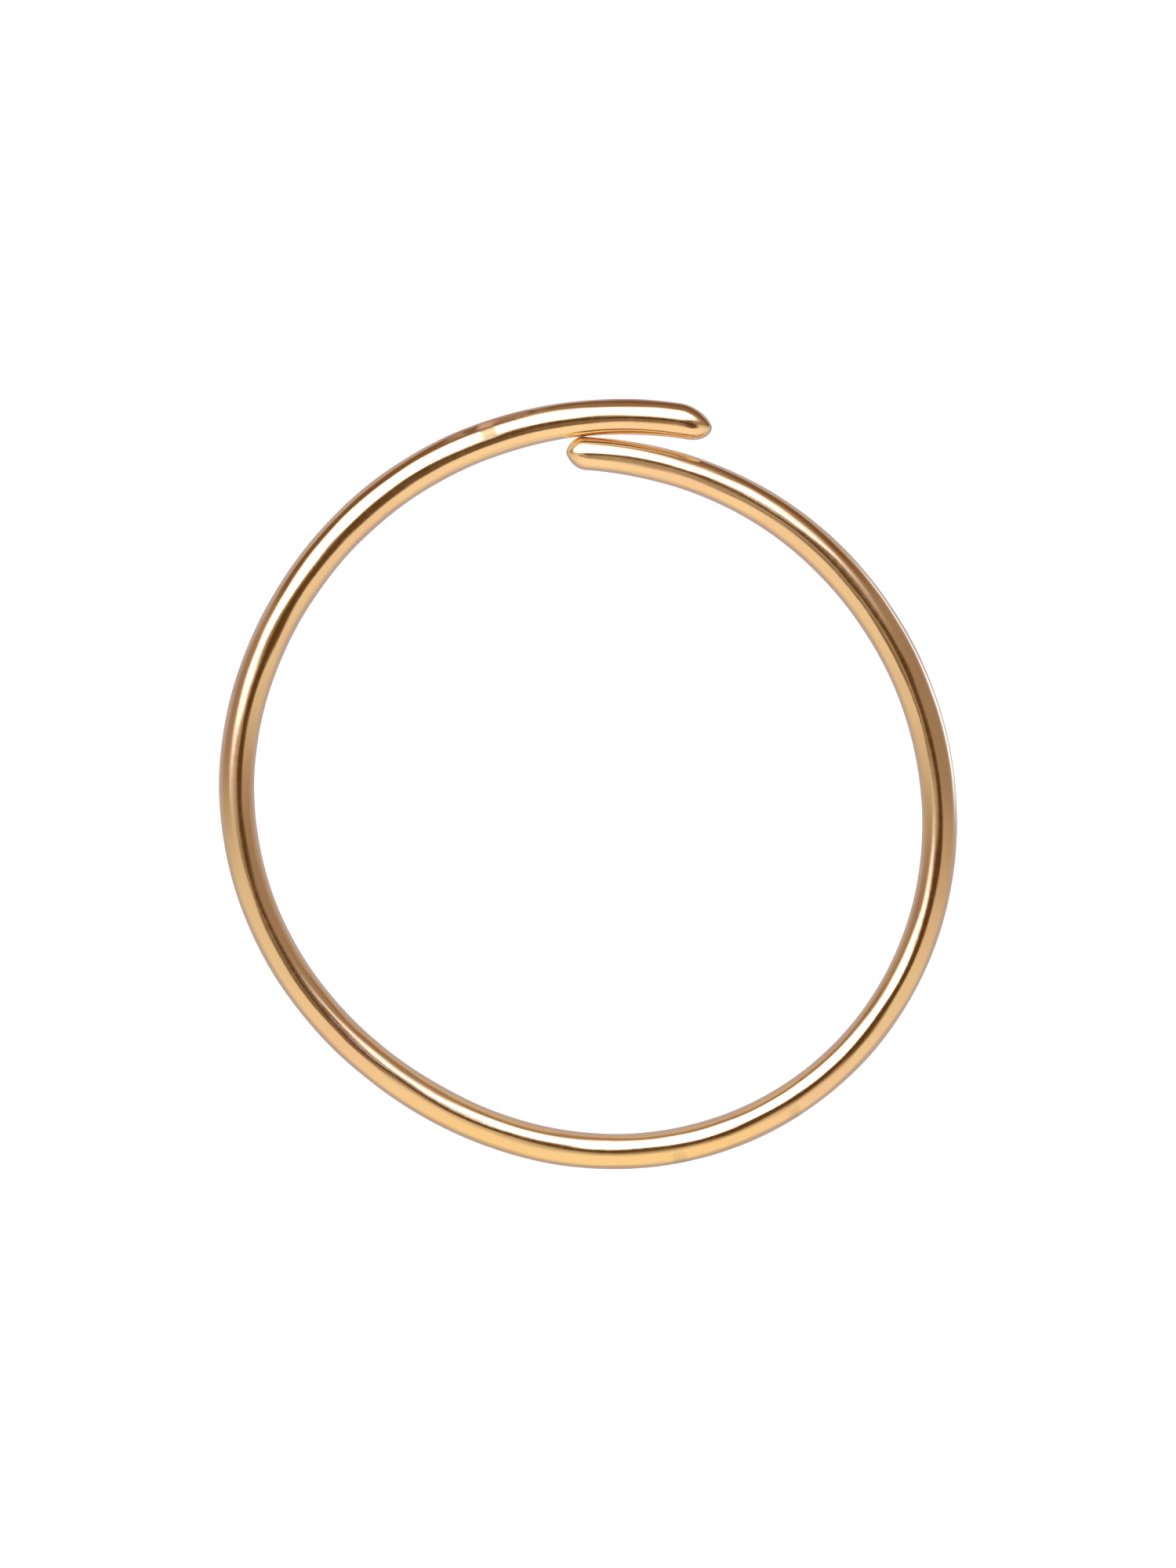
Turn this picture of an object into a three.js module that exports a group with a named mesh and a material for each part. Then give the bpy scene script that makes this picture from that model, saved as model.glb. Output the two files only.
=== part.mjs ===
// A plain open nose ring, bent from one length of round gold wire.
// Its two rounded ends pass each other at the top, the outer arm lying just outside the inner one.
// Millimetres, +Z up. The ring lies flat, and its origin is at the middle of its underside.

import * as THREE from 'three';
import { mergeVertices } from 'three/addons/utils/BufferGeometryUtils.js';

// Driving dimensions
const WIRE_DIAMETER = 0.6;
const RING_RADIUS = 5.85; // from the ring's centre to the middle of the wire
const PASSING_GAP = 0.01; // between the two arms where one passes the other
const INNER_END_TURN = -3.9; // degrees clockwise from the top of the ring
const OUTER_END_TURN = 379;

// How finely the round wire is faceted
const SIDES = 20; // divisible by 4, so that the wire has a flat below and above
const SHANK_SECTIONS = 120;
const END_SECTIONS = 7;

// The two filed ends. length is in wire diameters. nose is how blunt the tip is, as a share of the
// wire's radius, and cheek how far back from the tip the end bulges, as a share of its length.
// lean is how far the end is filed back on its outer side, and out on its inner one, in wire radii.
const ENDS = {
  inner: { length: 0.54, nose: 0.27, cheek: 0.36, lean: -0.08 },
  outer: { length: 0.8, nose: 0.38, cheek: 0.42, lean: 0.37 },
};
const LEAN_FADE = 4; // wire diameters from the tip over which a slanted end turns square to the wire

// The ring was bent by hand, so it is a little out of round and its wire a little uneven.
// Each row is a guide for a smooth curve. turn is in degrees clockwise from the top, reach is the
// distance from the centre as a share of RING_RADIUS, before the step outwards that the ends need to
// pass each other, and gauge is the thickness as a share of WIRE_DIAMETER.
// The first row and the last two lie beyond the tips and only steer them. The reach is the same at
// the top of the ring on both arms, so the ends pass each other with the gap above.
const GUIDES = [
  { turn: -30, reach: 1.055, gauge: 0.92 },
  { turn: 0, reach: 0.98, gauge: 0.93 },
  { turn: 30, reach: 0.97, gauge: 1.01 },
  { turn: 60, reach: 0.975, gauge: 1.04 },
  { turn: 90, reach: 1.015, gauge: 0.98 },
  { turn: 120, reach: 1.07, gauge: 0.955 },
  { turn: 150, reach: 1.085, gauge: 0.985 },
  { turn: 180, reach: 1.045, gauge: 0.99 },
  { turn: 210, reach: 0.985, gauge: 1.03 },
  { turn: 240, reach: 0.98, gauge: 0.95 },
  { turn: 270, reach: 0.98, gauge: 0.99 },
  { turn: 300, reach: 0.955, gauge: 1.02 },
  { turn: 330, reach: 0.965, gauge: 1.08 },
  { turn: 360, reach: 0.985, gauge: 0.99 },
  { turn: 390, reach: 1.04, gauge: 0.98 },
  { turn: 420, reach: 1.07, gauge: 0.97 },
];

// A column of the guides at a turn, blended as a uniform cubic B-spline
function guided(column, turn) {
  const spacing = GUIDES[1].turn - GUIDES[0].turn;
  const place = (turn - GUIDES[0].turn) / spacing;
  const row = Math.min(Math.max(Math.floor(place), 1), GUIDES.length - 3);
  const f = place - row;
  const shares = [
    (1 - f) ** 3,
    3 * f ** 3 - 6 * f ** 2 + 4,
    -3 * f ** 3 + 3 * f ** 2 + 3 * f + 1,
    f ** 3,
  ];
  return shares.reduce((sum, share, k) => sum + share * GUIDES[row - 1 + k][column], 0) / 6;
}

function thickness(turn) {
  return WIRE_DIAMETER * guided('gauge', turn);
}

// How far the wire moves outwards over one full turn, so that its ends clear each other at the top
const PASSING_STEP = (thickness(0) + thickness(360)) / 2 + PASSING_GAP;

// The middle of the wire, from the inner end to the outer end. It stands half the local thickness above
// the surface that the ring lies on, so that the underside is flush all the way round.
class WireRoute extends THREE.Curve {
  turnAt(t) {
    return THREE.MathUtils.lerp(INNER_END_TURN, OUTER_END_TURN, t);
  }

  thicknessAt(t) {
    return thickness(this.turnAt(t));
  }

  getPoint(t, point = new THREE.Vector3()) {
    const turn = this.turnAt(t);
    const radius = RING_RADIUS * guided('reach', turn) + PASSING_STEP * (turn / 360 - 0.5);
    const angle = THREE.MathUtils.degToRad(turn);
    return point.set(radius * Math.sin(angle), radius * Math.cos(angle), this.thicknessAt(t) / 2);
  }
}

// Half of a filed end in profile, from the pole at its tip to the full thickness.
// x is the share of the wire's radius, y the distance back from the tip.
function endProfile(end) {
  const length = end.length * WIRE_DIAMETER;
  const curve = new THREE.CubicBezierCurve(
    new THREE.Vector2(0, 0),
    new THREE.Vector2(end.nose, 0),
    new THREE.Vector2(1, length * end.cheek),
    new THREE.Vector2(1, length),
  );
  return curve.getPoints(END_SECTIONS);
}

// The straight wire, along +Y, before bending. Across its flats it is 2 wide, a share that the bending
// multiplies by the wire's own radius at each place.
function straightWire(length) {
  const inner = endProfile(ENDS.inner);
  const outer = endProfile(ENDS.outer).reverse().map((p) => new THREE.Vector2(p.x, length - p.y));
  const from = inner.at(-1).y;
  const to = outer[0].y;
  const shank = [];
  for (let k = 1; k < SHANK_SECTIONS; k += 1) {
    shank.push(new THREE.Vector2(1, THREE.MathUtils.lerp(from, to, k / SHANK_SECTIONS)));
  }
  const acrossCorners = 1 / Math.cos(Math.PI / SIDES);
  const profile = [...inner, ...shank, ...outer];
  profile.forEach((p) => { p.x *= acrossCorners; });
  profile[0].x = 0;
  profile.at(-1).x = 0;
  return new THREE.LatheGeometry(profile, SIDES, Math.PI / SIDES);
}

// How far a leaning end moves a vertex back from the tip, or out on the end's inner side.
// back is the vertex's distance from the tip, outwards its side of the wire from -1 to 1.
function leanShift(end, back, outwards) {
  const part = Math.max(0, 1 - back / (LEAN_FADE * WIRE_DIAMETER));
  return part * end.lean * outwards * (WIRE_DIAMETER / 2);
}

// Bends the straight wire along the route. What leans out past the end of the route goes straight on.
function bend(geometry, route) {
  const length = route.getLength();
  const up = new THREE.Vector3(0, 0, 1);
  const point = new THREE.Vector3();
  const middle = new THREE.Vector3();
  const tangent = new THREE.Vector3();
  const inward = new THREE.Vector3();
  const position = geometry.attributes.position;
  for (let i = 0; i < position.count; i += 1) {
    point.fromBufferAttribute(position, i);
    const { x: side, y: along, z: height } = point;
    const place = along
      + leanShift(ENDS.inner, along, -side)
      - leanShift(ENDS.outer, length - along, -side);
    const onRoute = THREE.MathUtils.clamp(place, 0, length);
    const t = route.getUtoTmapping(onRoute / length);
    const radius = route.thicknessAt(t) / 2;
    route.getPoint(t, middle);
    route.getTangent(t, tangent).setZ(0).normalize();
    inward.crossVectors(tangent, up);
    point.copy(middle)
      .addScaledVector(tangent, place - onRoute)
      .addScaledVector(inward, side * radius)
      .addScaledVector(up, height * radius);
    position.setXYZ(i, point.x, point.y, point.z);
  }
  return geometry;
}

function ringWire() {
  const route = new WireRoute();
  route.arcLengthDivisions = 10 * SHANK_SECTIONS;
  const wire = bend(straightWire(route.getLength()), route);
  wire.deleteAttribute('normal');
  wire.deleteAttribute('uv');
  const geometry = mergeVertices(wire);
  geometry.computeBoundingBox();
  const middle = geometry.boundingBox.getCenter(new THREE.Vector3());
  geometry.translate(-middle.x, -middle.y, -geometry.boundingBox.min.z);
  geometry.computeVertexNormals();
  const gold = new THREE.MeshStandardMaterial({ color: 0xe3ab6a, metalness: 1, roughness: 0.18 });
  const mesh = new THREE.Mesh(geometry, gold);
  mesh.name = 'ring_wire';
  return mesh;
}

const noseRing = new THREE.Group();
noseRing.add(ringWire());

export default noseRing;
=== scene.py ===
"""A plain open nose ring of polished gold wire, lying on a pale floor and seen from straight above."""
import bisect
import math
from collections import namedtuple

import bpy
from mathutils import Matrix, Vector, noise


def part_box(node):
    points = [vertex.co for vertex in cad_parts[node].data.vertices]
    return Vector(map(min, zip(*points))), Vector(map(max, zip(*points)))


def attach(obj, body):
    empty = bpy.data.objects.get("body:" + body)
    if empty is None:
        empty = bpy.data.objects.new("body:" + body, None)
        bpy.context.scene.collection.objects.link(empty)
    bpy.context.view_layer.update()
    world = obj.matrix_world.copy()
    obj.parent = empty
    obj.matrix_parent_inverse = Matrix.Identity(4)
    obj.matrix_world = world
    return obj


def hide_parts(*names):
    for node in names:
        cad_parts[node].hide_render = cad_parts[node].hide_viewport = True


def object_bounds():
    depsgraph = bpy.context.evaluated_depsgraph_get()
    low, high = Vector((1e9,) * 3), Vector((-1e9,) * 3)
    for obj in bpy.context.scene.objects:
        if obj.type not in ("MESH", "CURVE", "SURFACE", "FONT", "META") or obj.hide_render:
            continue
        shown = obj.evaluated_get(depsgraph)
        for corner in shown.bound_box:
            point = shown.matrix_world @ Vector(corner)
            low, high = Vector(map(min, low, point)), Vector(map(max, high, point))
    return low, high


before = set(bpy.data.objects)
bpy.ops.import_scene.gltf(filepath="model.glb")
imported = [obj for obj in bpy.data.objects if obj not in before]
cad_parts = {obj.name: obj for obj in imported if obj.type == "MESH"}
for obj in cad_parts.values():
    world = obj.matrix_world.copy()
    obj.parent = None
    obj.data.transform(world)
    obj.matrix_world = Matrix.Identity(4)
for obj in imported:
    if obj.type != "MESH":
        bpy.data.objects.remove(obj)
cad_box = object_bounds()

MM = 0.001

# The wire and the ring that it is bent into
WIRE_DIAMETER = 0.6 * MM
RING_RADIUS = 5.85 * MM
PASSING_GAP = 0.01 * MM
INNER_END_TURN = -3.9
OUTER_END_TURN = 379
WIRE_SIDES = 64
SHANK_CUTS = (19, 23)  # cuts across the shank, and then across each piece between them

# The filed ends. length is in wire diameters, nose and lean in wire radii, and cheek a share of the length.
End = namedtuple("End", "length nose cheek lean")
INNER_END = End(length=0.54, nose=0.27, cheek=0.36, lean=-0.08)
OUTER_END = End(length=0.8, nose=0.38, cheek=0.42, lean=0.37)
FILE_STROKES = 16
FILED_ABOVE = 0.5  # a stroke thins the end upwards by this power of what it does sideways, so by less
LEAN_FADE = 4 * WIRE_DIAMETER  # from the tip to where a slanted end is square to the wire again

# Guides of the bending. turn is in degrees clockwise from the top, reach the distance from the centre and
# gauge the wire's thickness, both as shares of the ring's own.
Guide = namedtuple("Guide", "turn reach gauge")
GUIDES = [
    Guide(-30, 1.055, 0.92),
    Guide(0, 0.98, 0.93),
    Guide(30, 0.97, 1.01),
    Guide(60, 0.975, 1.04),
    Guide(90, 1.015, 0.98),
    Guide(120, 1.07, 0.955),
    Guide(150, 1.085, 0.985),
    Guide(180, 1.045, 0.99),
    Guide(210, 0.985, 1.03),
    Guide(240, 0.98, 0.95),
    Guide(270, 0.98, 0.99),
    Guide(300, 0.955, 1.02),
    Guide(330, 0.965, 1.08),
    Guide(360, 0.985, 0.99),
    Guide(390, 1.04, 0.98),
    Guide(420, 1.07, 0.97),
]
ROUTE_STEPS = 1600
BEND_POINTS = 400
BEND_RESOLUTION = 6

# Unevenness that drawing, bending and polishing by hand leave in the wire: long swells with small dents
UNEVEN_DEPTH = 0.02  # share of the wire's radius
UNEVEN_MIDDLE = 0.3  # as the swells leave the wire a little thinner than its gauge
SWELL_LENGTH = 1.1 * MM
SWELLS_ROUND = 1.9
DENTS_PER_SWELL = 2.6
DENT_SHARE = 0.22

# The picture: the photograph's height in pixels, and how thick the wire is in it
FRAME_HEIGHT_PX = 2000
WIRE_PX = 46
CAMERA_DISTANCE = 0.6
CAMERA_CLIP = (0.01, 10)
SENSOR = 36.0

# The gold, and the lines that drawing and rubbing leave in it. A grain is how often its noise turns in
# each millimetre along the wire, across it and upwards.
GOLD = (0.955, 0.62, 0.3)
ROSE_GOLD = (0.94, 0.58, 0.29)
# Painted reflection: a deeper yellow gold laid on the outer side of the lower stretch, standing in for how
# the light falls there. It is not a colour of the metal.
PAINTED_REFLECTION_GOLD = (0.94, 0.59, 0.24)
ROSE_CLOUDS = (0.42, 0.68)  # of the cloud noise, where the gold turns to rose
DRAWING_GRAIN = (0.5, 28, 28)
RUBBING_GRAIN = (9, 3, 3)
RUBBING_PATCHES = (0.4, 0.7)
CLOUD_GRAIN = 0.8
MOTTLE_GRAIN = 5
POLISH = 0.1  # roughness where there is no mark
DRAWING_ROUGHNESS = 0.03
RUBBING_ROUGHNESS = 0.04
RELIEF_SHARES = (0.6, 0.4)  # of the drawing and the rubbing
RELIEF_DEPTH = 0.01 * MM
RELIEF_STRENGTH = 0.15

# The marks on the gold. A mark lies at one or more turns, and reaches so many millimetres to each side of
# them along the wire. across is where it begins, from the middle of the wire outwards in millimetres.
# strength is how far it changes the colour, and roughness what it adds. The rubbed stretch is only rougher.
Mark = namedtuple("Mark", "colour turns reach across strength roughness")
TARNISH = Mark((0.42, 0.2, 0.07), (344,), 0.22, (-0.02, 0.06), 0.85, 0.2)
TARNISH_FAR_SIDE = (0.19, 0.23)
STAIN = Mark((0.92, 0.56, 0.3), (339,), 0.34, (0.18, 0.22), 1, 0.25)
STAIN_BY_TARNISH = 0.2  # how far the stain reaches to each side of the tarnish
RUBBED = Mark(None, (347,), 0.9, (0.18, 0.24), 0, 0.3)
SMUDGES = Mark((0.72, 0.44, 0.2), (148, 166), 0.16, (0.05, 0.2), 0.6, 0.08)
RAGGEDNESS = 1.6  # of a mark's edges, as a share of its reach
MARK_CORE = 0.3  # share of its reach over which a mark is full
# Where the painted reflection lies: the turns where it begins, is full, starts to fade and is gone, and how
# far out from the middle of the wire it begins, in millimetres.
PAINTED_REFLECTION_TURNS = (144, 160, 196, 226)
PAINTED_REFLECTION_ACROSS = (0, 0.1)

# The floor, and the plain white light on all that doesn't mirror
FLOOR_SIDES = 96
FLOOR_RADIUS = 0.5
FLOOR_COLOUR = (0.45, 0.45, 0.45)
FLOOR_GLOW = (0.8, 0.8, 0.8)
WHITE_LIGHT = 1.1

# The light in the gold. Angles are in degrees: slant is from straight up, and azimuth from +X to +Y.
# A pair of numbers is where something begins and where it is full, or where it starts to fade and is gone.
# The softbox's near edge is a level distance towards it as a share of the height, and the card's edge a
# cosine.
SOFTBOX_AZIMUTH = 110
SOFTBOX_SIDES = (25, 90)
SOFTBOX_EDGE = (0.06, 0.36)
SOFTBOX_FALL = (51, 78)
SOFTBOX_SIDE_FALL = 10 / 50**2  # degrees that its far edge comes nearer for each squared degree aside
SOFTBOX_LIGHT = (2.6, 3.25, 4.9)
FAR_WALL_AZIMUTH = 92
FAR_WALL_SIDES = (25, 65)
FAR_WALL_RISE = (82, 98)
FAR_WALL_LIGHT = (0.4, 0.38, 0.28)
CARD_AZIMUTH = -91
CARD_EDGE = (-0.2, 0.35)
CARD_LIGHT = (0.62, 1.04)  # at its sides and in its middle
ROOM_LIGHT = (0.34, 0.28, 0.27)
GROUND_SLANT = (86, 126)
GROUND_LIGHT = (0.52, 0.55, 0.76)
REBOUND_LIGHT = (0.9, 1.25, 1.9)
REBOUND_SHARE = 0.9
REBOUND_DEPTH = (2.4, 2.6)  # the ray depth is 2 where the gold mirrors the tent, 3 by way of its other arm
LEAST_LEVEL = 1e-4  # so that straight up doesn't divide by nothing
LEAST_RISE = 0.05

# Dark round cards that hang over the ring and run as the dark line along the top of the wire: the lens in
# its shade, a wide veil round it, and three lesser ones. Lengths are in millimetres and turn is in radians.
# full is the distance from the middle up to which a card is as dark as its share, and clear where it ends.
Shade = namedtuple("Shade", "name height x y turn stretch full clear share")
SHADES = [
    Shade("lens_shade", 90, 15, -4, -0.5, 1.6, 10, 25, 1.0),
    Shade("wide_veil", 92, 8, -26, 0, 1, 12, 55, 0.4),
    Shade("right_shade", 25, 6, -5.5, 1.3, 1.15, 2.5, 12, 0.95),
    Shade("left_shade", 40, -12.6, -8, 0, 1.3, 2.6, 8.5, 0.85),
    Shade("upper_shade", 89, 22, 28, 0.8, 1.2, 5, 17, 0.7),
]
SHADE_COLOUR = (0.1, 0.05, 0.01)
SHADE_SIZE = 0.4

# The brown flag stands beyond the top of the ring, in millimetres
FLAG_Y = 7.6
FLAG_MIDDLE = -1.5
FLAG_SIDES = (9, 14)
FLAG_TOP = (0.0, 1.3)
FLAG_FOOT = (-1.2, -0.4)
FLAG_TOP_RISE = 0.03  # how far its top rises towards both sides, as a share of x squared
FLAG_COLOUR = (0.18, 0.1, 0.05)
FLAG_SHARE = 0.95

# The glare lies just under the floor's surface along the ring's right side, in millimetres
GLARE_Z = -0.05
GLARE_NEAR = (6.42, 6.55)
GLARE_FAR = (6.95, 7.4)
GLARE_AZIMUTH = 18
GLARE_SIDES = (14, 26)
GLARE_COLOUR = (1.1, 1.6, 2.8)
LOW_CARD_SIZE = 0.03  # of the flag and the glare


def guided(column, turn):
    """A column of the guides at a turn, blended as a uniform cubic B-spline."""
    place = (turn - GUIDES[0].turn) / (GUIDES[1].turn - GUIDES[0].turn)
    row = min(max(math.floor(place), 1), len(GUIDES) - 3)
    f = place - row
    shares = ((1 - f) ** 3, 3 * f**3 - 6 * f**2 + 4, -3 * f**3 + 3 * f**2 + 3 * f + 1, f**3)
    return sum(share * getattr(GUIDES[row - 1 + k], column) for k, share in enumerate(shares)) / 6


def thickness(turn):
    return WIRE_DIAMETER * guided("gauge", turn)


# How far the wire moves outwards over one full turn, so that its ends clear each other at the top
PASSING_STEP = (thickness(0) + thickness(360)) / 2 + PASSING_GAP


def route_point(turn):
    """The middle of the bent wire, in the plane of the ring."""
    radius = RING_RADIUS * guided("reach", turn) + PASSING_STEP * (turn / 360 - 0.5)
    angle = math.radians(turn)
    return Vector((radius * math.sin(angle), radius * math.cos(angle), 0))


class Route:
    """The turns along the wire, and the wire's length up to each."""

    def __init__(self):
        sweep = OUTER_END_TURN - INNER_END_TURN
        self.turns = [INNER_END_TURN + sweep * k / ROUTE_STEPS for k in range(ROUTE_STEPS + 1)]
        points = [route_point(turn) for turn in self.turns]
        self.lengths = [0.0]
        for a, b in zip(points, points[1:]):
            self.lengths.append(self.lengths[-1] + (b - a).length)
        self.length = self.lengths[-1]

    def turn_at(self, along):
        k = min(max(bisect.bisect(self.lengths, along), 1), ROUTE_STEPS)
        part = (along - self.lengths[k - 1]) / (self.lengths[k] - self.lengths[k - 1])
        return self.turns[k - 1] + part * (self.turns[k] - self.turns[k - 1])

    def mm_at(self, turn):
        """Millimetres along the wire to a turn."""
        return self.lengths[bisect.bisect(self.turns, turn)] / MM


def only(obj):
    """Makes obj the one selected and active object."""
    bpy.ops.object.select_all(action="DESELECT")
    obj.select_set(True)
    bpy.context.view_layer.objects.active = obj


def select(obj, kind, wanted):
    """In edit mode, selects the edges or the faces of obj that wanted() accepts, and nothing else."""
    bpy.ops.object.mode_set(mode="EDIT")
    bpy.ops.mesh.select_mode(type={"edges": "EDGE", "polygons": "FACE"}[kind])
    bpy.ops.mesh.select_all(action="DESELECT")
    bpy.ops.object.mode_set(mode="OBJECT")
    for item in getattr(obj.data, kind):
        item.select = wanted(item)
    bpy.ops.object.mode_set(mode="EDIT")


def file_strokes(end):
    """Stations of a filed end, from the full wire to its tip: how far back each lies, and its share of
    the wire's radius."""
    length = end.length * WIRE_DIAMETER
    stations = []
    for k in range(FILE_STROKES + 1):
        t = 1 - k / FILE_STROKES
        back = 3 * (1 - t) * t**2 * end.cheek * length + t**3 * length
        share = 3 * (1 - t) ** 2 * t * end.nose + 3 * (1 - t) * t**2 + t**3
        stations.append((back, share))
    return stations


def file_end(wire, tip, direction, end):
    """Draws the flat end of the wire out to its tip, stroke by stroke, and closes it in a pole."""
    strokes = file_strokes(end)
    length = strokes[0][0]
    base = tip - direction * length

    def flat_end(face):
        return abs(face.center.x - base) < length / 10 and abs(face.normal.x) > 0.9

    select(wire, "polygons", flat_end)
    for (back, share), (next_back, next_share) in zip(strokes, strokes[1:]):
        step = (direction * (back - next_back), 0, 0)
        bpy.ops.mesh.extrude_region_move(TRANSFORM_OT_translate={"value": step})
        if next_share > 0:
            ratio = next_share / share
            middle = (tip - direction * next_back, 0, 0)
            bpy.ops.transform.resize(value=(1, ratio, ratio**FILED_ABOVE), center_override=middle)
    bpy.ops.mesh.merge(type="CENTER")
    bpy.ops.object.mode_set(mode="OBJECT")


def straight_wire(length):
    """The wire before bending, along X from its inner end, with both ends filed."""
    start = INNER_END.length * WIRE_DIAMETER
    stop = length - OUTER_END.length * WIRE_DIAMETER
    bpy.ops.object.select_all(action="DESELECT")
    bpy.ops.mesh.primitive_cylinder_add(
        vertices=WIRE_SIDES,
        radius=WIRE_DIAMETER / 2,
        depth=stop - start,
        end_fill_type="NGON",
        calc_uvs=False,
        location=((start + stop) / 2, 0, 0),
        rotation=(0, math.pi / 2, 0),
    )
    wire = bpy.context.object
    wire.name = "gold_wire"
    bpy.ops.object.transform_apply(location=True, rotation=True, scale=True)
    spacing = stop - start

    def lengthwise(edge):
        a, b = (wire.data.vertices[k].co for k in edge.vertices)
        return abs(a.x - b.x) > spacing / 2

    for cuts in SHANK_CUTS:
        select(wire, "edges", lengthwise)
        bpy.ops.mesh.subdivide(number_cuts=cuts)
        bpy.ops.object.mode_set(mode="OBJECT")
        spacing /= cuts + 1
    file_end(wire, 0, -1, INNER_END)
    file_end(wire, length, 1, OUTER_END)
    return wire


def lean_shift(end, back, outwards):
    """How far a leaning end moves a point back from the tip, or out on the end's inner side."""
    part = max(0, 1 - back / LEAN_FADE)
    return part * end.lean * outwards * WIRE_DIAMETER / 2


def unevenness(along, side, height):
    """How far the surface stands proud at a place on the wire, from about -1 to 1."""
    swell = Vector((along / SWELL_LENGTH, SWELLS_ROUND * side, SWELLS_ROUND * height))
    return noise.noise(swell) + DENT_SHARE * noise.noise(DENTS_PER_SWELL * swell)


def work_by_hand(wire, route):
    """Gives the straight wire its uneven gauge, and keeps each point's straight place for the polish."""
    mesh = wire.data
    place = mesh.attributes.new("straight", "FLOAT_VECTOR", "POINT")
    radius = WIRE_DIAMETER / 2
    for vertex, kept in zip(mesh.vertices, place.data):
        along, side, height = vertex.co
        kept.vector = (along / MM, side / MM, height / MM)
        leaned = along + lean_shift(INNER_END, along, side / radius)
        leaned -= lean_shift(OUTER_END, route.length - along, side / radius)
        turn = route.turn_at(min(max(leaned, 0), route.length))
        lump = unevenness(along, side / radius, height / radius) - UNEVEN_MIDDLE
        scale = guided("gauge", turn) * (1 + UNEVEN_DEPTH * lump)
        vertex.co = (leaned, side * scale, max(0, height * scale + thickness(turn) / 2))


def bend(wire):
    """Bends the straight wire round its route, with the Curve modifier."""
    curve = bpy.data.curves.new("bending_guide", "CURVE")
    curve.dimensions = "3D"
    curve.twist_mode = "Z_UP"
    curve.resolution_u = BEND_RESOLUTION
    spline = curve.splines.new("NURBS")
    spline.points.add(BEND_POINTS)
    for k, point in enumerate(spline.points):
        turn = INNER_END_TURN + (OUTER_END_TURN - INNER_END_TURN) * k / BEND_POINTS
        point.co = (*route_point(turn), 1)
    spline.order_u = 4
    spline.use_endpoint_u = True
    guide = bpy.data.objects.new("bending_guide", curve)
    bpy.context.collection.objects.link(guide)
    bending = wire.modifiers.new("bending", "CURVE")
    bending.object = guide
    bending.deform_axis = "POS_X"
    only(wire)
    bpy.ops.object.modifier_apply(modifier=bending.name)
    bpy.data.objects.remove(guide)


def settle(wire):
    """Puts the ring's middle where the frame has it, with its underside on the floor."""
    low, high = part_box("ring_wire")
    corners = [vertex.co for vertex in wire.data.vertices]
    least = [min(c[k] for c in corners) for k in range(3)]
    most = [max(c[k] for c in corners) for k in range(3)]
    move = [(low[k] + high[k]) / 2 - (least[k] + most[k]) / 2 for k in (0, 1)]
    move = Vector((*move, low[2] - least[2]))
    for vertex in wire.data.vertices:
        vertex.co += move


class Sock:
    """An output of a shader node, with arithmetic that adds Math nodes."""

    def __init__(self, shader, socket):
        self.shader = shader
        self.socket = socket

    def __add__(self, other):
        return self.shader.math("ADD", self, other)

    def __radd__(self, other):
        return self.shader.math("ADD", other, self)

    def __sub__(self, other):
        return self.shader.math("SUBTRACT", self, other)

    def __rsub__(self, other):
        return self.shader.math("SUBTRACT", other, self)

    def __mul__(self, other):
        return self.shader.math("MULTIPLY", self, other)

    def __rmul__(self, other):
        return self.shader.math("MULTIPLY", other, self)

    def __truediv__(self, other):
        return self.shader.math("DIVIDE", self, other)

    def __abs__(self):
        return self.shader.math("ABSOLUTE", self)

    def rising(self, low, high):
        """0 below low, 1 above high, and smooth between them."""
        sockets = {"Value": self, "From Min": low, "From Max": high}
        return self.shader.node("ShaderNodeMapRange", {"interpolation_type": "SMOOTHSTEP"}, sockets)

    def falling(self, low, high):
        """1 below low, 0 above high, and smooth between them."""
        return 1 - self.rising(low, high)


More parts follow.
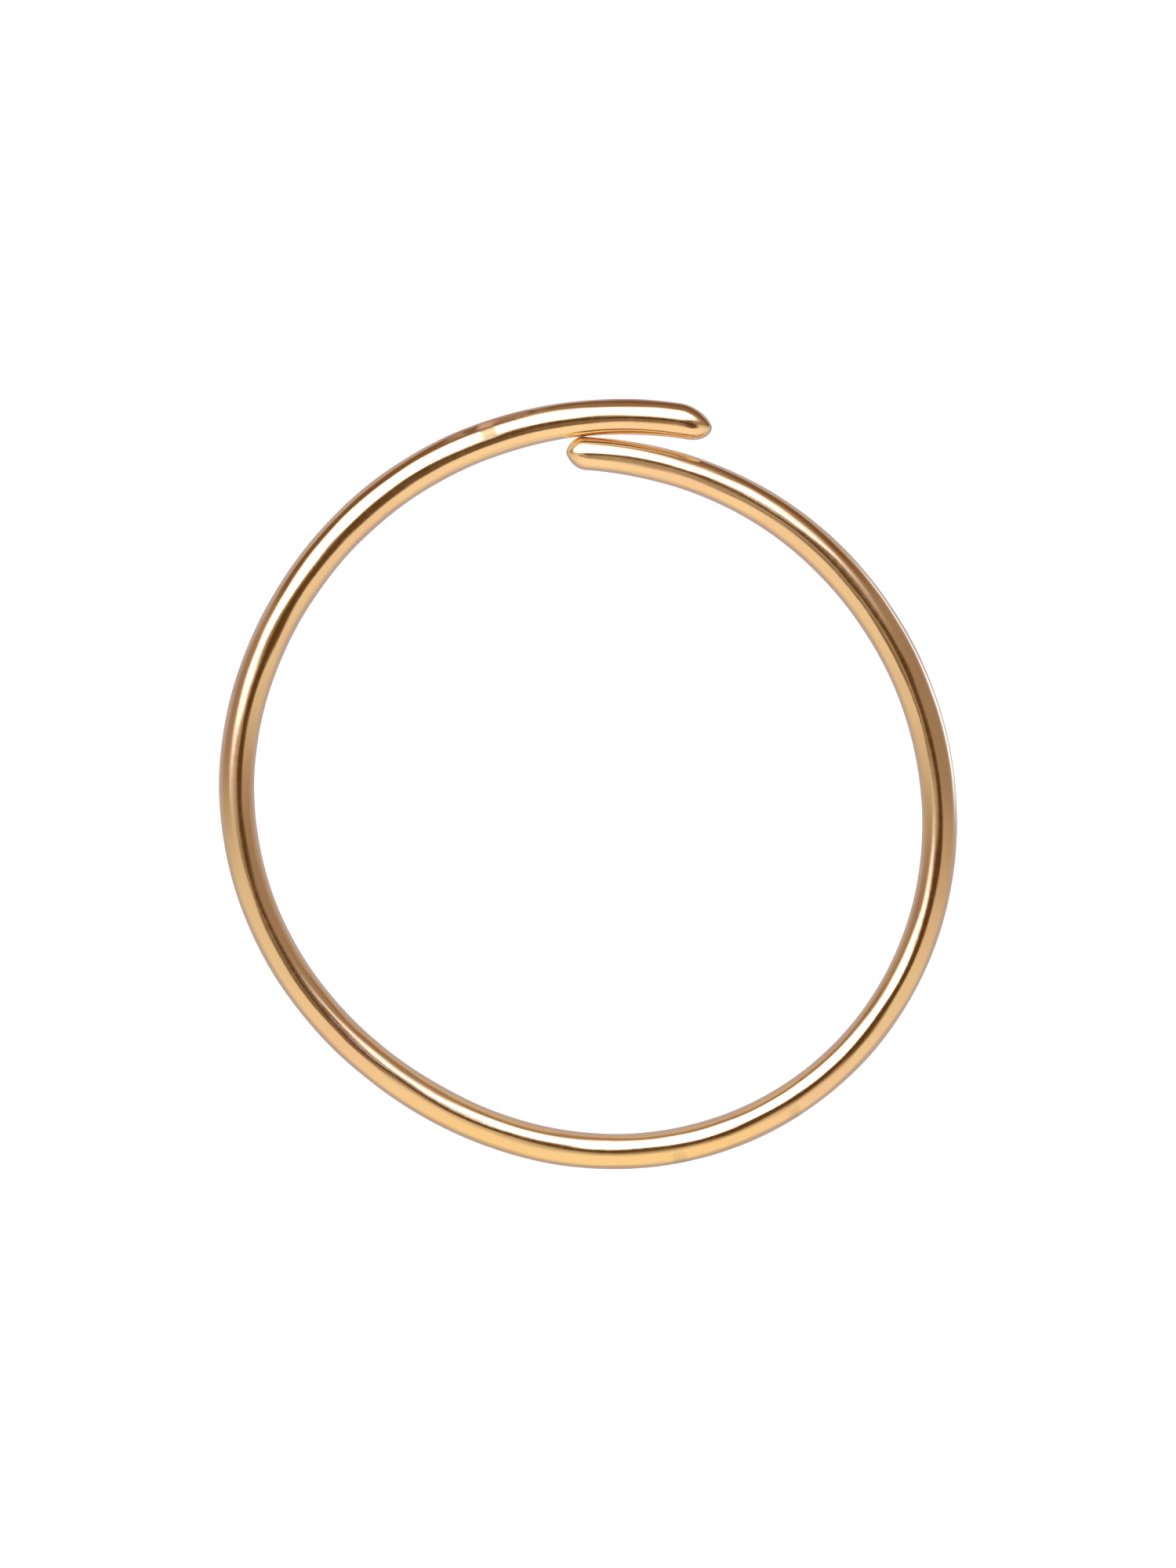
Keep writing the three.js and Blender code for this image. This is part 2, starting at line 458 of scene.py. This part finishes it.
class Shader:
    """The node tree of a material or of the world."""

    def __init__(self, owner):
        owner.use_nodes = True
        self.tree = owner.node_tree
        self.tree.nodes.clear()

    def node(self, kind, settings, sockets, output=0):
        """Adds a node: its settings first, then the values or links of its sockets. Returns one output."""
        made = self.tree.nodes.new(kind)
        for name, value in settings.items():
            setattr(made, name, value)
        for name, value in sockets.items():
            if isinstance(value, Sock):
                self.tree.links.new(value.socket, made.inputs[name])
            else:
                made.inputs[name].default_value = value
        return Sock(self, made.outputs[output]) if len(made.outputs) else None

    def math(self, operation, *values):
        return self.node("ShaderNodeMath", {"operation": operation}, dict(enumerate(values)))

    def axes(self, vector):
        """The three numbers of a vector."""
        first = self.node("ShaderNodeSeparateXYZ", {}, {"Vector": vector})
        return [Sock(self, output) for output in first.socket.node.outputs]

    def length(self, x, y):
        """How far x and y lie from the middle."""
        return self.math("SQRT", x * x + y * y)

    def azimuth(self, x, y):
        """Degrees from +X to +Y."""
        return self.math("DEGREES", self.math("ARCTAN2", y, x))

    def vector_math(self, operation, *vectors):
        return self.node("ShaderNodeVectorMath", {"operation": operation}, dict(enumerate(vectors)))

    def colour(self, value):
        return value if isinstance(value, Sock) else (*value, 1)

    def mix(self, factor, a, b):
        """A colour between a and b."""
        sockets = {0: factor, 6: self.colour(a), 7: self.colour(b)}
        return self.node("ShaderNodeMix", {"data_type": "RGBA"}, sockets, output=2)

    def times(self, colour, factor):
        """A colour made brighter or darker, above 1 too."""
        return self.node("ShaderNodeVectorMath", {"operation": "SCALE"}, {0: colour, "Scale": factor})

    def noise(self, vector, scale=1, detail=2):
        return self.node("ShaderNodeTexNoise", {}, {"Vector": vector, "Scale": scale, "Detail": detail})

    def glow(self, colour):
        return self.node("ShaderNodeEmission", {}, {"Color": self.colour(colour)})

    def blend(self, factor, a, b):
        """A surface between the surfaces a and b."""
        return self.node("ShaderNodeMixShader", {}, {0: factor, 1: a, 2: b})

    def surface(self, shader):
        self.node("ShaderNodeOutputMaterial", {}, {"Surface": shader})

    def veil(self, share, colour):
        """Makes the surface glow in a colour by a share, and lets all else through."""
        clear = self.node("ShaderNodeBsdfTransparent", {}, {})
        self.surface(self.blend(share, clear, self.glow(colour)))


def polished_gold(route):
    """18 carat gold, near mirror bright, with drawing lines along the wire and the marks of polishing. A
    streak of tarnish, a stain, a dull rubbed stretch and two smudges lie where the photograph has them. The
    outer side of the lower stretch is painted a slightly yellower gold, which is a painted reflection."""
    material = bpy.data.materials.new("polished_gold")
    s = Shader(material)
    place = s.node("ShaderNodeAttribute", {"attribute_name": "straight"}, {}, output="Vector")
    along, side, _ = s.axes(place)
    drawing = s.noise(s.vector_math("MULTIPLY", place, DRAWING_GRAIN), detail=3)
    rubbing = s.noise(s.vector_math("MULTIPLY", place, RUBBING_GRAIN), detail=4)
    cloud = s.noise(place, CLOUD_GRAIN)
    mottle = s.noise(place, MOTTLE_GRAIN, detail=3)

    def patch(turn, reach):
        """A ragged patch across the wire, this many millimetres to each side of a turn."""
        ragged = abs(along - route.mm_at(turn)) + RAGGEDNESS * reach * (mottle - 0.5)
        return ragged.falling(MARK_CORE * reach, reach)

    def marked(mark):
        return sum(patch(turn, mark.reach) for turn in mark.turns) * side.rising(*mark.across)

    tarnish = marked(TARNISH) * side.falling(*TARNISH_FAR_SIDE)
    by_tarnish = patch(TARNISH.turns[0], STAIN_BY_TARNISH)
    stained = s.math("MAXIMUM", patch(STAIN.turns[0], STAIN.reach), by_tarnish)
    stain = stained * side.rising(*STAIN.across)
    begin, full, fade, end = [route.mm_at(turn) for turn in PAINTED_REFLECTION_TURNS]
    # Painted reflection: a deeper yellow gold on the outer side of the lower stretch of wire.
    painted_reflection = along.rising(begin, full) * along.falling(fade, end) * side.rising(*PAINTED_REFLECTION_ACROSS)
    colour = s.mix(cloud.rising(*ROSE_CLOUDS), GOLD, ROSE_GOLD)
    colour = s.mix(painted_reflection, colour, PAINTED_REFLECTION_GOLD)
    rough = POLISH + RUBBING_ROUGHNESS * rubbing.rising(*RUBBING_PATCHES) + DRAWING_ROUGHNESS * drawing
    marks = ((TARNISH, tarnish), (STAIN, stain), (RUBBED, marked(RUBBED)), (SMUDGES, marked(SMUDGES)))
    for mark, amount in marks:
        if mark.colour:
            colour = s.mix(amount * mark.strength, colour, mark.colour)
        rough = rough + mark.roughness * amount
    relief = RELIEF_SHARES[0] * drawing + RELIEF_SHARES[1] * rubbing
    sockets = {"Strength": RELIEF_STRENGTH, "Distance": RELIEF_DEPTH, "Height": relief}
    bump = s.node("ShaderNodeBump", {}, sockets)
    sockets = {"Base Color": colour, "Metallic": 1.0, "Roughness": rough, "Normal": bump}
    s.surface(s.node("ShaderNodeBsdfPrincipled", {}, sockets))
    return material


def gold_wire():
    """The whole ring: one wire, filed, worked and bent."""
    route = Route()
    wire = straight_wire(route.length)
    work_by_hand(wire, route)
    bend(wire)
    settle(wire)
    only(wire)
    bpy.ops.object.mode_set(mode="EDIT")
    bpy.ops.mesh.select_all(action="SELECT")
    bpy.ops.mesh.normals_make_consistent(inside=False)
    bpy.ops.object.mode_set(mode="OBJECT")
    bpy.ops.object.shade_smooth()
    wire.data.materials.append(polished_gold(route))
    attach(wire, "root")
    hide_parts("ring_wire")


def overhead_camera():
    """Straight above the ring's middle, a long lens that gives the wire its thickness in the frame."""
    low, high = cad_box
    frame_height = FRAME_HEIGHT_PX * WIRE_DIAMETER / WIRE_PX
    lens = bpy.data.cameras.new("overhead")
    lens.sensor_width = SENSOR
    lens.lens = SENSOR * CAMERA_DISTANCE / frame_height
    lens.clip_start, lens.clip_end = CAMERA_CLIP
    camera = bpy.data.objects.new("overhead", lens)
    camera.location = (0, 0, (low[2] + high[2]) / 2 + CAMERA_DISTANCE)
    bpy.context.collection.objects.link(camera)
    bpy.context.scene.camera = camera


def pale_floor():
    """A plain white floor, lit so brightly that only a faint shadow is left where the wire touches it. The
    gold doesn't mirror it."""
    bpy.ops.object.select_all(action="DESELECT")
    bpy.ops.mesh.primitive_circle_add(
        vertices=FLOOR_SIDES, radius=FLOOR_RADIUS, fill_type="NGON", location=(0, 0, 0)
    )
    floor = bpy.context.object
    floor.name = "floor"
    material = bpy.data.materials.new("floor")
    s = Shader(material)
    white = s.node("ShaderNodeBsdfDiffuse", {}, {"Color": s.colour(FLOOR_COLOUR)})
    s.surface(s.node("ShaderNodeAddShader", {}, {0: white, 1: s.glow(FLOOR_GLOW)}))
    floor.data.materials.append(material)
    floor.visible_glossy = False


def mirrored_card(name, size, location, rotation=(0, 0, 0)):
    """A card that only shows in the gold. Returns its shader, and the place on it in millimetres."""
    bpy.ops.object.select_all(action="DESELECT")
    bpy.ops.mesh.primitive_plane_add(size=size, location=location, rotation=rotation)
    card = bpy.context.object
    card.name = name
    bpy.ops.object.transform_apply(location=True, rotation=True, scale=True)
    card.visible_camera = False
    card.visible_diffuse = False
    card.visible_shadow = False
    material = bpy.data.materials.new(name)
    card.data.materials.append(material)
    s = Shader(material)
    place = s.node("ShaderNodeTexCoord", {}, {}, output="Object")
    return s, s.axes(s.times(place, 1 / MM))


def round_shade(shade):
    """One of the dark round cards over the ring."""
    s, (x, y, _) = mirrored_card(shade.name, SHADE_SIZE, (0, 0, shade.height * MM))
    x = x - shade.x
    y = y - shade.y
    cos, sin = math.cos(shade.turn), math.sin(shade.turn)
    out = s.length((x * cos + y * sin) / shade.stretch, y * cos - x * sin)
    s.veil(out.falling(shade.full, shade.clear) * shade.share, SHADE_COLOUR)


def brown_flag():
    """A low brown card beyond the top of the ring, which darkens the outer edge of the wire there."""
    upright = (math.pi / 2, 0, 0)
    s, (x, _, z) = mirrored_card("brown_flag", LOW_CARD_SIZE, (0, FLAG_Y * MM, 0), upright)
    top = (z - x * x * FLAG_TOP_RISE).falling(*FLAG_TOP)
    dark = abs(x - FLAG_MIDDLE).falling(*FLAG_SIDES) * top * z.rising(*FLAG_FOOT)
    s.veil(dark * FLAG_SHARE, FLAG_COLOUR)


def floor_glare():
    """The whitest part of the floor, which runs as a thin white line along the wire's outer edge there."""
    s, (x, y, _) = mirrored_card("floor_glare", LOW_CARD_SIZE, (0, 0, GLARE_Z * MM))
    out = s.length(x, y)
    aside = abs(s.azimuth(x, y) - GLARE_AZIMUTH)
    s.veil(out.rising(*GLARE_NEAR) * out.falling(*GLARE_FAR) * aside.falling(*GLARE_SIDES), GLARE_COLOUR)


def light_tent():
    """Soft light from all round, for the gold to mirror: a cool softbox above the ring in the picture with
    a far wall under it, a white card below the ring, and a dim warm room between them. What reaches the
    gold by way of its other arm is brighter, and all that doesn't mirror sees plain white."""
    world = bpy.data.worlds.new("light_tent")
    bpy.context.scene.world = world
    s = Shader(world)
    x, y, z = s.axes(s.node("ShaderNodeTexCoord", {}, {}, output="Generated"))
    slant = s.math("DEGREES", s.math("ARCCOSINE", z))
    azimuth = s.azimuth(x, y)

    def towards(middle):
        """How much of the direction goes towards an azimuth, on the level."""
        middle = math.radians(middle)
        return x * math.cos(middle) + y * math.sin(middle)

    def off(middle):
        """Degrees to either side of an azimuth."""
        return s.math("WRAP", azimuth - middle, 180, -180)

    towards_card = towards(CARD_AZIMUTH) / (s.length(x, y) + LEAST_LEVEL)
    dim, bright = CARD_LIGHT
    card_glow = s.times((1, 1, 1), dim + (bright - dim) * s.math("MAXIMUM", towards_card, 0))
    light = s.mix(towards_card.rising(*CARD_EDGE), ROOM_LIGHT, card_glow)

    wall = abs(off(FAR_WALL_AZIMUTH)).falling(*FAR_WALL_SIDES) * slant.rising(*FAR_WALL_RISE)
    light = s.vector_math("ADD", light, s.times(FAR_WALL_LIGHT, wall))

    reach = towards(SOFTBOX_AZIMUTH) / s.math("MAXIMUM", z, LEAST_RISE)
    aside = off(SOFTBOX_AZIMUTH)
    far = (slant + aside * aside * SOFTBOX_SIDE_FALL).falling(*SOFTBOX_FALL)
    shine = abs(aside).falling(*SOFTBOX_SIDES) * reach.rising(*SOFTBOX_EDGE) * far
    light = s.vector_math("ADD", light, s.times(SOFTBOX_LIGHT, shine))

    light = s.mix(slant.rising(*GROUND_SLANT), light, GROUND_LIGHT)
    rebounds = s.node("ShaderNodeLightPath", {}, {}, output="Ray Depth").rising(*REBOUND_DEPTH)
    light = s.mix(rebounds * REBOUND_SHARE, light, REBOUND_LIGHT)

    tent = s.node("ShaderNodeBackground", {}, {"Color": light})
    white = s.node("ShaderNodeBackground", {}, {"Color": (1, 1, 1, 1), "Strength": WHITE_LIGHT})
    mirrored = s.node("ShaderNodeLightPath", {}, {}, output="Is Glossy Ray")
    s.node("ShaderNodeOutputWorld", {}, {"Surface": s.blend(mirrored, white, tent)})
    bpy.context.scene.view_settings.view_transform = "Standard"


overhead_camera()
gold_wire()
pale_floor()
for shade in SHADES:
    round_shade(shade)
brown_flag()
floor_glare()
light_tent()
